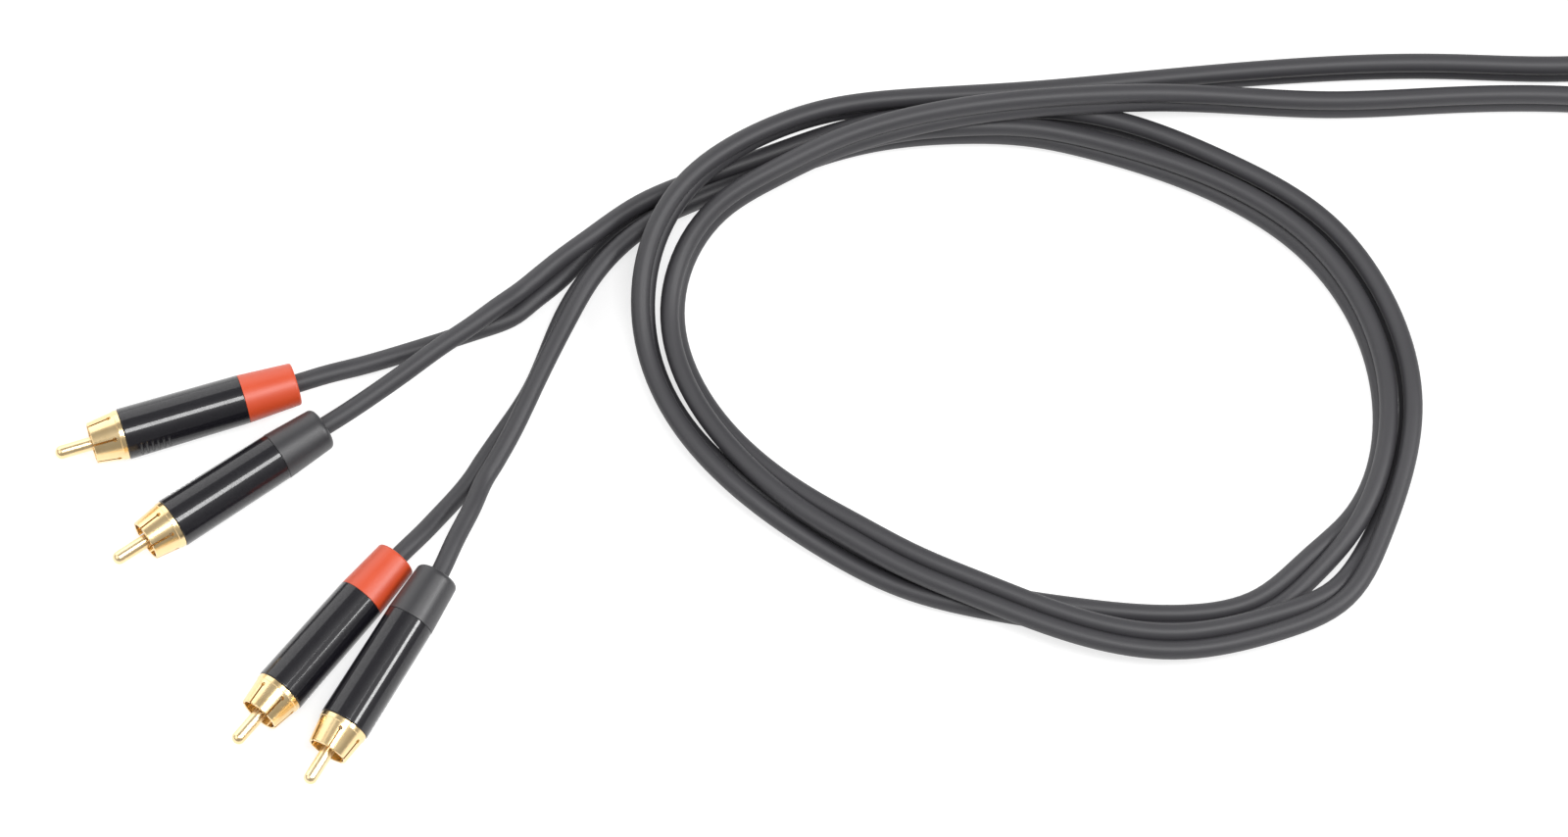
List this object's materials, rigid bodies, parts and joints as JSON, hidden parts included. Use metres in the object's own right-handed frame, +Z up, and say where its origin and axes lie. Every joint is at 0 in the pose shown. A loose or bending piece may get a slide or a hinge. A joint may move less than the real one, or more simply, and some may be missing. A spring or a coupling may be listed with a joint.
{
  "type": "stereo phono audio cable",
  "caption": "Flat twin audio lead lying in a loose loop, with slotted gilt collars, round-tipped centre pins, black shells and red and black rubber boots at both ends.",
  "frame": {"origin": "on the table, in the middle of the box round the plugs", "axes": "+Z up from the table, +X to the right along the run of the lead, +Y away from the viewer"},
  "size_m": [0.4599, 0.2106, 0.0198],
  "materials": {
    "gold_pin": "polished gold plate",
    "gold": "polished gold plate",
    "black_lacquer": "semi-gloss black lacquer over brushed metal",
    "red_rubber": "matt orange-red moulded rubber",
    "black_rubber": "matt black moulded rubber",
    "cord_jacket": "matt dark grey jacket",
    "insulator_plastic": "off-white",
    "liner_plastic": "milky",
    "tinned_brass": "tinned",
    "core_insulation": "white insulation",
    "copper": "bare copper braid"
  },
  "bodies": {
    "root": {"upper_red_pin": "gold_pin", "upper_red_insulator": "insulator_plastic", "upper_red_collar": "gold", "upper_red_ground_tag": "tinned_brass", "upper_red_liner": "liner_plastic", "upper_red_shell": "black_lacquer", "upper_red_core": "core_insulation", "upper_red_shield_tail": "copper", "upper_red_boot": "red_rubber", "upper_red_leg": "cord_jacket", "upper_black_pin": "gold_pin", "upper_black_insulator": "insulator_plastic", "upper_black_collar": "gold", "upper_black_ground_tag": "tinned_brass", "upper_black_liner": "liner_plastic", "upper_black_shell": "black_lacquer", "upper_black_core": "core_insulation", "upper_black_shield_tail": "copper", "upper_black_boot": "black_rubber", "upper_black_leg": "cord_jacket", "lower_red_pin": "gold_pin", "lower_red_insulator": "insulator_plastic", "lower_red_collar": "gold", "lower_red_ground_tag": "tinned_brass", "lower_red_liner": "liner_plastic", "lower_red_shell": "black_lacquer", "lower_red_core": "core_insulation", "lower_red_shield_tail": "copper", "lower_red_boot": "red_rubber", "lower_red_leg": "cord_jacket", "lower_black_pin": "gold_pin", "lower_black_insulator": "insulator_plastic", "lower_black_collar": "gold", "lower_black_ground_tag": "tinned_brass", "lower_black_liner": "liner_plastic", "lower_black_shell": "black_lacquer", "lower_black_core": "core_insulation", "lower_black_shield_tail": "copper", "lower_black_boot": "black_rubber", "lower_black_leg": "cord_jacket", "twin_lead": "cord_jacket"}
  },
  "joints": []
}
